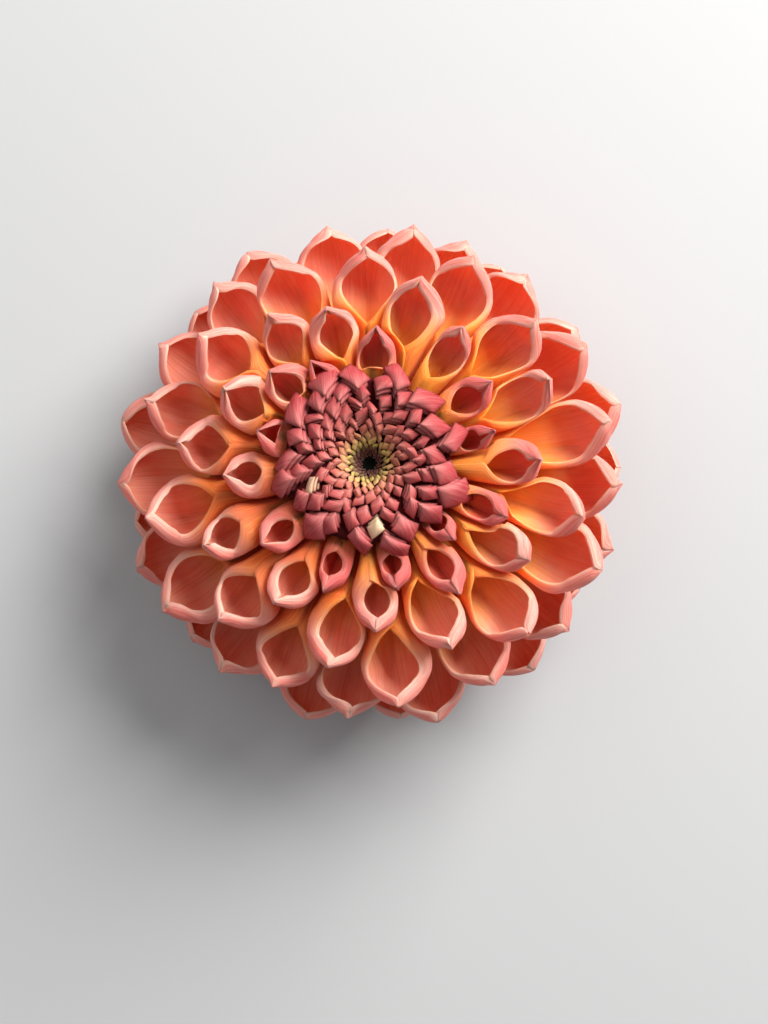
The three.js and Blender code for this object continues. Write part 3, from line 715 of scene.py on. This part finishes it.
def petal_material():
    """Coral petals with golden throats and a painted golden glow on the sunny side, pale margins that are
    partly painted light, tube roots deepened by painted shade, streaks, and rose florets beside the disc.
    """
    material, tree, shader = node_material("petal_coral")
    n = Nodes(tree)
    along = n.value("along")
    inside = n.value("inside")
    middle = n.math("SUBTRACT", 1.0, n.math("ABSOLUTE", n.value("across")))
    fine = n.grain(52.0, 1.8, 1.0, 4.0, 0.6)
    broad = n.grain(7.0, 1.1, 1.0, 2.0)
    blotch = n.grain(1.6, 2.6, 1.3, 2.0)

    # The inner face goes from the root's orange and the golden throat to coral, paler beside its margins.
    inner = n.ramp(along, (
        (0.0, rgb(238, 88, 22)), (0.4, rgb(254, 160, 56)), (0.54, rgb(251, 152, 80)),
        (0.68, rgb(244, 145, 110)), (0.84, rgb(243, 146, 122)), (0.93, rgb(243, 149, 124)),
        (1.0, rgb(244, 158, 134)),
    ))
    beside_margin = n.reading(middle, 0.3, 0.0, 0.0, 0.5)
    inner = n.mix(beside_margin, inner, rgb(246, 142, 108))

    # The outer face is golden on the tube and deep red towards its root, painted shade between the crowded
    # tubes. It then goes from a pale margin, partly its own colour and partly painted light on the upturned
    # rolled margin, to deeper coral in its middle.
    tube = n.ramp(along, (
        (0.0, rgb(180, 36, 10)), (0.3, rgb(200, 60, 16)), (0.45, rgb(222, 96, 28)),
        (0.6, rgb(230, 118, 58)), (0.8, rgb(230, 124, 98)),
    ))
    blade = n.ramp(middle, (
        (0.0, rgb(236, 172, 152)), (0.06, rgb(231, 150, 134)), (0.18, rgb(224, 122, 110)),
        (0.4, rgb(216, 101, 90)), (1.0, rgb(211, 86, 77)),
    ))
    outer = n.mix(n.reading(along, 0.42, 0.78), tube, blade)
    colour = n.mix(inside, outer, inner)

    # Painted light: the throats on the sunny side get a painted golden glow, as of light shining through
    # them.
    painted_glow = n.times(n.reading(along, 0.46, 0.86, 0.8, 0.0), n.value("sun"))
    colour = n.mix(painted_glow, colour, rgb(255, 148, 30))

    # Pale and dark streaks run lengthwise over both faces, with soft blotches.
    beyond_throat = n.reading(along, 0.42, 0.76)
    pale_outside = n.mix(beyond_throat, rgb(242, 146, 66), rgb(244, 184, 166))
    pale_inside = n.mix(beyond_throat, rgb(255, 176, 76), rgb(248, 164, 138))
    pale = n.mix(inside, pale_outside, pale_inside)
    dark = n.mix(inside, rgb(204, 84, 70), rgb(222, 88, 62))
    colour = n.mix(n.reading(broad, 0.4, 0.75, 0.0, 0.4), colour, pale)
    colour = n.mix(n.reading(fine, 0.42, 0.72, 0.0, 0.65), colour, pale)
    colour = n.mix(n.reading(fine, 0.5, 0.25, 0.0, 0.45), colour, dark)
    colour = n.mix(n.reading(blotch, 0.4, 0.7, 0.0, 0.3), colour, rgb(218, 90, 74))

    # The florets beside the disc turn rose, and every rim has a light edge: a paler margin colour with a
    # painted highlight along it.
    beside_disc = n.reading(n.value("order"), 30.0, 44.0)
    rosy = n.times(beside_disc, n.reading(along, 0.3, 0.7, 0.0, 0.7))
    colour = n.mix(rosy, colour, n.mix(inside, rgb(196, 68, 70), rgb(222, 46, 36)))
    # Pale margin colour with a painted highlight along the rim.
    edge = n.reading(n.value("rim"), 0.0, 0.03, 0.45, 0.0)
    colour = n.mix(edge, colour, rgb(250, 166, 128))

    n.link(colour, shader.inputs["Base Color"])
    n.link(n.reading(fine, 0.3, 0.8, 0.5, 0.65), shader.inputs["Roughness"])
    relief = n.math("ADD", fine, n.times(broad, 1.5))
    n.link(n.bump(relief, 0.6, 0.0004), shader.inputs["Normal"])
    glow_through(shader, 0.6, (1.0, 0.45, 0.3), 0.0016)
    shader.inputs["Sheen Weight"].default_value = 0.04
    shader.inputs["Specular IOR Level"].default_value = 0.22
    return material


def disc_material():
    """Rose buds that turn cream, yellow-green and dark green towards the pit and near black in it as painted
    shade, with painted shade in the gaps between them, on their lower layers and sides, and under each bud's
    overlapped outer corner.
    """
    material, tree, shader = node_material("closed_floret_rose")
    n = Nodes(tree)
    along = n.value("along")
    depth = n.value("depth")
    share = n.times(n.value("radius"), 0.05)
    streaks = n.grain(9.0, 1.0, 1.0, 3.0)
    # Towards the pit the buds go dark green, then near black, which is painted shade in the pit.
    face = n.ramp(share, (
        (0.11, rgb(18, 20, 6)), (0.145, rgb(64, 74, 20)), (0.175, rgb(180, 174, 76)),
        (0.215, rgb(204, 162, 98)), (0.28, rgb(170, 92, 70)), (0.42, rgb(158, 66, 61)),
        (0.65, rgb(153, 53, 55)), (1.0, rgb(152, 44, 51)),
    ))
    # Each bud is paler towards its raised inner corner, partly its own pale folded edge and partly painted
    # highlight, and darker towards its outer corner, painted shade under the next bud's overlapping edge.
    pale_and_lit_corner = n.reading(along, -0.2, 1.0, 0.0, 0.35)
    shaded_outer_corner = n.reading(along, 0.2, -1.0, 0.0, 0.4)
    face = n.mix(n.reading(streaks, 0.35, 0.7, 0.0, 0.4), face, rgb(200, 126, 120))
    face = n.mix(pale_and_lit_corner, face, rgb(208, 148, 138))
    face = n.mix(shaded_outer_corner, face, rgb(140, 34, 44))
    face = n.mix(n.value("pale"), face, rgb(222, 188, 152))
    # Painted shade: the gaps, lower layers, sides drawn down and the dome below go near black at the pit and
    # maroon further out.
    gap = n.mix(n.reading(share, 0.12, 0.32), rgb(6, 8, 3), rgb(64, 5, 8))
    n.link(n.mix(n.reading(depth, 0.1, 0.6), face, gap), shader.inputs["Base Color"])
    n.link(n.reading(depth, 0.1, 0.6, 0.55, 0.95), shader.inputs["Roughness"])
    n.link(n.bump(streaks, 0.3, 0.0003), shader.inputs["Normal"])
    glow_through(shader, 0.2, (1.0, 0.35, 0.25), 0.0008)
    shader.inputs["Specular IOR Level"].default_value = 0.15
    return material


petal = petal_material()
closed = disc_material()


def build_ring(name, numbers):
    """One piece that holds the petals of one turn of florets."""
    mesh = Mesh()
    for place, n in enumerate(numbers):
        floret = florets[n]
        points, u, v = floret.surface()
        points = crowd.press(n, points, PRESSING_GAP + SHEET / 2)
        points = clear_of_disc(points, SHEET / 2)
        values = {
            "along": v,
            "across": u,
            "order": float(n),
            "seed": SEED_SCATTER * draw(n, 15),
            "rim": 1 - np.abs(u) * np.clip((v - floret.closed) / RIM_FADE, 0, 1),
            # How far the floret faces the sunny side, which sets its painted golden glow.
            "sun": 0.5 + 0.5 * math.cos(floret.az - PAINTED_GLOW_SIDE),
        }
        thick = SHEET * np.interp(1 - np.abs(u), *SHEET_PROFILE)
        add_sheet(mesh, points, grid_normals(points), thick, values, tile_frame(place, len(numbers)))
    mesh.build(name, petal, "ray_florets", "ray_florets")


for ring, start in enumerate(range(FIRST_FLORET, LAST_FLORET + 1, FLORETS_PER_RING)):
    members = [n for n in range(start, start + FLORETS_PER_RING) if n in florets]
    build_ring(f"ray_florets_ring_{ring + 1}", members)


def lathe_mesh(profile, segments, values):
    """Closed solid turned about the flower's axis. Its profile begins and ends on the axis."""
    mesh = Mesh()
    profile = np.array(profile, float)
    rings = len(profile) - 2
    steps = np.linalg.norm(np.diff(profile, axis=0), axis=1)
    share = np.concatenate(((0,), np.cumsum(steps))) / steps.sum()
    turn = np.linspace(0, 2 * math.pi, segments, endpoint=False)
    points = [np.array((0.0, 0.0, profile[0][1]))]
    for r, z in profile[1:-1]:
        points.extend(np.array((r * math.sin(a), r * math.cos(a), z)) for a in turn)
    points.append(np.array((0.0, 0.0, profile[-1][1])))
    faces = []
    uv = []

    def on_map(turned, length):
        return LATHE_MARGIN + LATHE_SPAN * turned / segments, LATHE_MARGIN + LATHE_SPAN * length

    def corner(i, j):
        return 1 + i * segments + j % segments, on_map(j, share[i + 1])

    def close(corners):
        faces.append(tuple(index for index, _ in corners))
        uv.extend(spot for _, spot in corners)

    for j in range(segments):
        close(((0, on_map(j + 0.5, 0)), corner(0, j), corner(0, j + 1)))
        for i in range(rings - 1):
            close((corner(i, j), corner(i + 1, j), corner(i + 1, j + 1), corner(i, j + 1)))
        close(((len(points) - 1, on_map(j + 0.5, 1)), corner(rings - 1, j + 1), corner(rings - 1, j)))
    points = np.array(points)
    mesh.add(world(points), faces, {**values, "radius": np.hypot(points[:, 0], points[:, 1])}, uv)
    return mesh


# The receptacle takes the tube's deep red root colour, painted shade in the depth between the florets.
heart = lathe_mesh(HEART_PROFILE, LATHE_SEGMENTS, {
    "along": 0.12, "across": 0.0, "order": 0.0, "seed": 0.0, "rim": 1.0, "inside": 0.0, "sun": 0.5,
})
heart.build("receptacle", petal, "ray_florets", "ray_florets")


def disc_height(r):
    return np.interp(r, *DISC_HEIGHTS)


def turn_of(step):
    degrees = (step * GOLDEN_ANGLE) % 360
    return math.radians(degrees - 360 if degrees > 180 else degrees)


STEP_13 = np.array((-13 * DISC_SHRINK, turn_of(13)))
STEP_21 = np.array((-21 * DISC_SHRINK, turn_of(21)))


def disc_radius(n):
    return DISC_RADIUS * math.exp(-DISC_SHRINK * (n - DISC_FIRST))


def disc_numbers():
    """Numbers of the buds, from the disc's rim down into the pit."""
    numbers = []
    n = EDGE_BUD_FIRST
    while disc_radius(n) > LAST_BUD_RADIUS:
        numbers.append(n)
        n += 1
    return numbers


def bud_layer(n, layer):
    """One folded layer of a closed floret: a four-sided plate whose corner towards the centre stands up."""
    radius = disc_radius(n)
    size = radius * math.sqrt(2 * math.pi * DISC_SHRINK)
    p = np.linspace(-1, 1, BUD_STEPS)
    a, b = np.meshgrid(p, p, indexing="ij")
    inward = (a + b) / 2
    sideways = (a - b) / 2
    outward = np.clip(-inward, 0, 1)
    outer = min(max((radius - OUTER_BUDS_FROM) / OUTER_BUDS_SPAN, 0), 1)
    full = BUD_FULLNESS + FULLNESS_SCATTER * draw(n, 21) + OUTER_FULLNESS * outer
    share = 0.5 * full * (1 - OUTER_NARROWING * outer * outward)
    log_r = math.log(radius) + share * (a * STEP_13[0] + b * STEP_21[0])
    log_r = log_r - LAYER_STEP_IN * layer + BUD_RADIUS_SCATTER * draw(n, 25)
    az = azimuth(n) + BUD_AZIMUTH_SCATTER * draw(n, 22) + share * (a * STEP_13[1] + b * STEP_21[1])
    az += BUD_TWIST_SCATTER * draw(n, 26) * inward
    r = np.exp(log_r) * (1 + OUTER_REACH * outer * (1 + np.cos(az - LONG_SIDE)))
    crown = (1 - np.abs(a) ** 3) * (1 - np.abs(b) ** 3)
    keel = -BUD_KEEL * np.abs(sideways) * (1 + inward)
    tilt = SIDE_TILT_SCATTER * draw(n, 27) * sideways + FRONT_TILT_SCATTER * draw(n, 28) * inward
    drop = OUTER_DROP * outer * outward ** OUTER_DROP_POWER
    rise = BUD_RISE - drop + BUD_TILT * inward + BUD_CROWN * crown + keel + tilt
    lift = size * (rise - LAYER_STEP_DOWN * layer + BUD_RISE_SCATTER * draw(n, 23))
    return np.stack((r * np.sin(az), r * np.cos(az), disc_height(r) + lift), -1), a, b, size


def build_buds(name, node, numbers):
    """One piece that holds all layers of the buds of one node."""
    mesh = Mesh()
    layers = [(n, layer) for n in numbers for layer in range(BUD_LAYERS)]
    for place, (n, layer) in enumerate(layers):
        points, a, b, size = bud_layer(n, layer)
        edge = np.maximum(np.abs(a), np.abs(b))
        skirt = np.where(edge > EDGE_FROM, 1.0, 0.0)
        values = {
            "along": (a + b) / 2,
            "across": a - b,
            "seed": BUD_SEED_SCATTER * draw(n, 24),
            "radius": disc_radius(n),
            "pale": PALE_BUDS.get(n, 0.0),
            # Painted shade: lower layers and the sides drawn down are darker.
            "depth": LAYER_SHADE * layer + EDGE_SHADE * skirt,
        }
        add_bud(mesh, points, size, values, tile_frame(place, len(layers)))
    mesh.build(name, closed, node, node)


def add_bud(mesh, points, size, values, square):
    """A plate with its sides drawn down into the dome and closed below."""
    k = points.shape[0]
    centre = points.mean(axis=(0, 1))
    low = points + (centre - points) * np.array((BUD_BASE_NARROWING, BUD_BASE_NARROWING, 0))
    low[..., 2] -= max(BUD_DEPTH_SHARE * size, BUD_DEPTH_LEAST)
    left, bottom, extent = square
    top = world(points).reshape(-1, 3)
    base = world(low).reshape(-1, 3)
    ring = [i * k for i in range(k - 1)] + [(k - 1) * k + j for j in range(k - 1)]
    ring += [i * k + k - 1 for i in range(k - 1, 0, -1)] + [j for j in range(k - 1, 0, -1)]
    faces = []
    uv = []

    def spot(i, half):
        x = left + extent * (0.5 * half + FACE_SPAN * (i % k) / (k - 1))
        return x, bottom + extent * (i // k) / (k - 1)

    for i in range(k - 1):
        for j in range(k - 1):
            face = (i * k + j, i * k + j + 1, (i + 1) * k + j + 1, (i + 1) * k + j)
            faces.append(face)
            uv.extend(spot(x, 0) for x in face)
    count = k * k
    for x, y in zip(ring, ring[1:] + ring[:1]):
        faces.append((x, y, count + ring.index(y), count + ring.index(x)))
        uv.extend((spot(x, 0), spot(y, 0), spot(y, 0), spot(x, 0)))
    faces.append(tuple(count + i for i in range(len(ring) - 1, -1, -1)))
    uv.extend(spot(ring[i], 1) for i in range(len(ring) - 1, -1, -1))
    joined = {}
    for name, value in values.items():
        full = np.broadcast_to(value, (k, k)).ravel()
        joined[name] = np.concatenate((full, full[ring]))
    # The closed underside is wholly in painted shade.
    joined["depth"] = np.concatenate((joined["depth"][:count], np.ones(len(ring))))
    mesh.add(np.concatenate((top, base[ring])), faces, joined, uv)


buds = disc_numbers()
build_buds("closed_florets_buds", "closed_florets", [n for n in buds if disc_radius(n) > DISC_INNER_RADIUS])
build_buds("green_eye_buds", "green_eye", [n for n in buds if disc_radius(n) <= DISC_INNER_RADIUS])

dome_top = tuple((r, float(disc_height(r)) - DOME_BELOW_BUDS) for r in DOME_RADII)
# The dome below the buds wholly takes the painted shade of the gaps.
dome = lathe_mesh(DOME_NECK + dome_top + DOME_PIT, LATHE_SEGMENTS, {
    "along": 0.0, "across": 0.0, "seed": 0.0, "pale": 0.0, "depth": 1.0,
})
dome.build("closed_florets_dome", closed, "closed_florets", "closed_florets")


def green_material(name, stops, vein, tint, sheen):
    """Leafy surface from root to tip, with lengthwise veins and blotches of a second tint."""
    material, tree, shader = node_material(name)
    n = Nodes(tree)
    veins = n.grain(16.0, 1.4, 1.0, 4.0)
    blotch = n.grain(1.8, 3.0, 1.6, 3.0)
    midrib = n.reading(n.math("ABSOLUTE", n.value("across")), 0.09, 0.0, 0.0, 0.5)
    colour = n.ramp(n.value("along"), stops)
    colour = n.mix(n.reading(veins, 0.45, 0.7, 0.0, 0.5), colour, vein)
    colour = n.mix(n.reading(blotch, 0.5, 0.75, 0.0, 0.55), colour, tint)
    colour = n.mix(n.times(midrib, n.value("leaf")), colour, vein)
    colour = n.mix(n.value("cut"), colour, rgb(206, 214, 150))
    n.link(colour, shader.inputs["Base Color"])
    n.link(n.reading(veins, 0.3, 0.8, 0.42, 0.62), shader.inputs["Roughness"])
    n.link(n.bump(veins, 0.5, 0.0003), shader.inputs["Normal"])
    glow_through(shader, 0.15, (0.5, 0.8, 0.2), 0.0008)
    shader.inputs["Sheen Weight"].default_value = sheen
    return material


papery = green_material("inner_bract_papery", (
    (0.0, rgb(150, 152, 84)), (0.4, rgb(190, 174, 112)), (0.8, rgb(206, 178, 128)), (1.0, rgb(170, 120, 84)),
), rgb(226, 210, 158), rgb(176, 132, 92), 0.2)
leafy = green_material("stem_green", (
    (0.0, rgb(120, 146, 70)), (0.35, rgb(96, 128, 54)), (0.75, rgb(78, 112, 46)), (1.0, rgb(112, 120, 60)),
), rgb(148, 170, 92), rgb(104, 88, 58), 0.1)


def smooth_path(path, steps):
    """Points of a smooth curve through the places of a path."""
    places = np.array(path, float)
    slopes = np.gradient(places, axis=0)
    t = np.linspace(0, len(places) - 1, steps)
    i = np.minimum(t.astype(int), len(places) - 2)
    s = (t - i)[:, None]
    a, b, c, d = places[i], places[i + 1], slopes[i], slopes[i + 1]
    return a + s * c + s * s * (3 * (b - a) - 2 * c - d) + s ** 3 * (2 * (a - b) + c + d)


def add_blades(mesh, path, count, thickness, trait):
    """A ring of thin blades along one path, each a little uneven and with soft waves in its margin."""
    rows, cols = BLADE_STEPS
    line = smooth_path(path, rows)
    side = np.linspace(-1, 1, cols)[None, :]
    share = np.linspace(0, 1, rows)[:, None]
    for i in range(count):
        az = 2 * math.pi * (i + BLADE_AZIMUTH_SCATTER * draw(i, trait)) / count
        half = line[:, 2:] * (1 + BLADE_WIDTH_SCATTER * draw(i, trait + 4))
        turns = BLADE_WAVES * share + BLADE_WAVE_SCATTER * draw(i, trait + 5)
        wave = BLADE_WAVE * np.sin(turns) * side ** 2 * share
        radius = line[:, :1] + 0 * side
        height = line[:, 1:2] - side ** 2 * BLADE_CUP * half + wave
        x = side * half
        points = np.stack((
            radius * math.sin(az) + x * math.cos(az),
            radius * math.cos(az) - x * math.sin(az),
            height,
        ), -1)
        values = {
            "along": share,
            "across": side,
            "seed": BLADE_SEED_SCATTER * draw(i, trait + 6),
            "leaf": 1.0,
            "cut": 0.0,
            "radius": radius,
        }
        thick = thickness * (1 - BLADE_THINNING * np.abs(side) ** 3 + 0 * share)
        add_sheet(mesh, points, grid_normals(points), thick, values, tile_frame(i + 1, count + 1))


def build_bracts():
    """Papery scales on their plate, and the stem stub with its leaflets.

    The stem's veins run lengthwise all round it, and its low end is the pale cut.
    """
    plate = {"along": 0.2, "across": 0.5, "seed": 1.0, "leaf": 0.0, "cut": 0.0, "inside": 0.0}
    scales = lathe_mesh(SCALE_PLATE, PLATE_SEGMENTS, plate)
    scales.shrink_map(tile_frame(0, SCALES + 1))
    add_blades(scales, SCALE_PATH, SCALES, SCALE_THICKNESS, SCALE_TRAIT)
    scales.build("inner_bract_scales", papery, "inner_bracts", "inner_bracts")
    stem = lathe_mesh(STEM_PROFILE, LATHE_SEGMENTS, {**plate, "along": 0.5})
    points = np.concatenate(stem.points) / MM
    turn = np.arctan2(points[:, 0] - HEAD_PLACE[0], points[:, 1] - HEAD_PLACE[1])
    stem.values["across"] = [1.2 * np.sin(turn) + 0.4 * np.sin(3 * turn)]
    stem.values["cut"] = [np.clip((CUT_HEIGHT - points[:, 2]) / CUT_FADE, 0, 1)]
    stem.shrink_map(tile_frame(0, LEAFLETS + 1))
    add_blades(stem, LEAFLET_PATH, LEAFLETS, LEAFLET_THICKNESS, LEAFLET_TRAIT)
    stem.build("stem_with_leaflets", leafy, "stem_and_outer_bracts", "stem_and_outer_bracts")


build_bracts()

# The stage, in metres and watts: a lamp's place, size and power.
FLOOR_SIZE = 4
FLOOR_COLOUR = (0.42, 0.417, 0.412, 1)
FLOOR_ROUGHNESS = 0.85
SKY_COLOUR = (0.92, 0.95, 1.0, 1)
SKY_STRENGTH = 0.36
LAMPS = (((0.46, 0.5, 0.5), 0.6, 18.5), ((-0.4, 0.3, 0.7), 0.7, 1.5))
LIT_PLACE = Vector((0, 0, 0.02))


def floor_and_light():
    bpy.ops.mesh.primitive_plane_add(size=FLOOR_SIZE, location=(0, 0, 0))
    floor = bpy.context.object
    floor.name = "floor"
    material, tree, shader = node_material("floor_pale")
    shader.inputs["Base Color"].default_value = FLOOR_COLOUR
    shader.inputs["Roughness"].default_value = FLOOR_ROUGHNESS
    floor.data.materials.append(material)
    sky = bpy.data.worlds.new("studio")
    bpy.context.scene.world = sky
    sky.use_nodes = True
    background = sky.node_tree.nodes["Background"]
    background.inputs[0].default_value = SKY_COLOUR
    background.inputs[1].default_value = SKY_STRENGTH
    for place, size, power in LAMPS:
        light = bpy.data.lights.new("softbox", "AREA")
        light.size = size
        light.energy = power
        lamp = bpy.data.objects.new("softbox", light)
        bpy.context.scene.collection.objects.link(lamp)
        lamp.location = place
        lamp.rotation_euler = (LIT_PLACE - Vector(place)).to_track_quat("-Z", "Y").to_euler()


# The camera looks straight down, as in the photograph, with the head's centre at its place in the picture.
# A pixel's size and the camera's distance are in millimetres.
CENTRE_PIXEL = (373.7, 471.2)
PICTURE_MIDDLE = (384, 512)
PICTURE_HEIGHT = 1024
PIXEL = 97 / 496
CAMERA_DISTANCE = 330.0
SENSOR_SIZE = 36


def camera():
    data = bpy.data.cameras.new("camera")
    view = bpy.data.objects.new("camera", data)
    bpy.context.scene.collection.objects.link(view)
    bpy.context.scene.camera = view
    head = settled(np.zeros(3))
    view.location = (
        (head[0] + (PICTURE_MIDDLE[0] - CENTRE_PIXEL[0]) * PIXEL) * MM,
        (head[1] + (CENTRE_PIXEL[1] - PICTURE_MIDDLE[1]) * PIXEL) * MM,
        (head[2] + CAMERA_DISTANCE) * MM,
    )
    data.sensor_width = SENSOR_SIZE
    data.lens = SENSOR_SIZE * CAMERA_DISTANCE / (PICTURE_HEIGHT * PIXEL)


floor_and_light()
camera()
bpy.context.scene.view_settings.view_transform = "Standard"
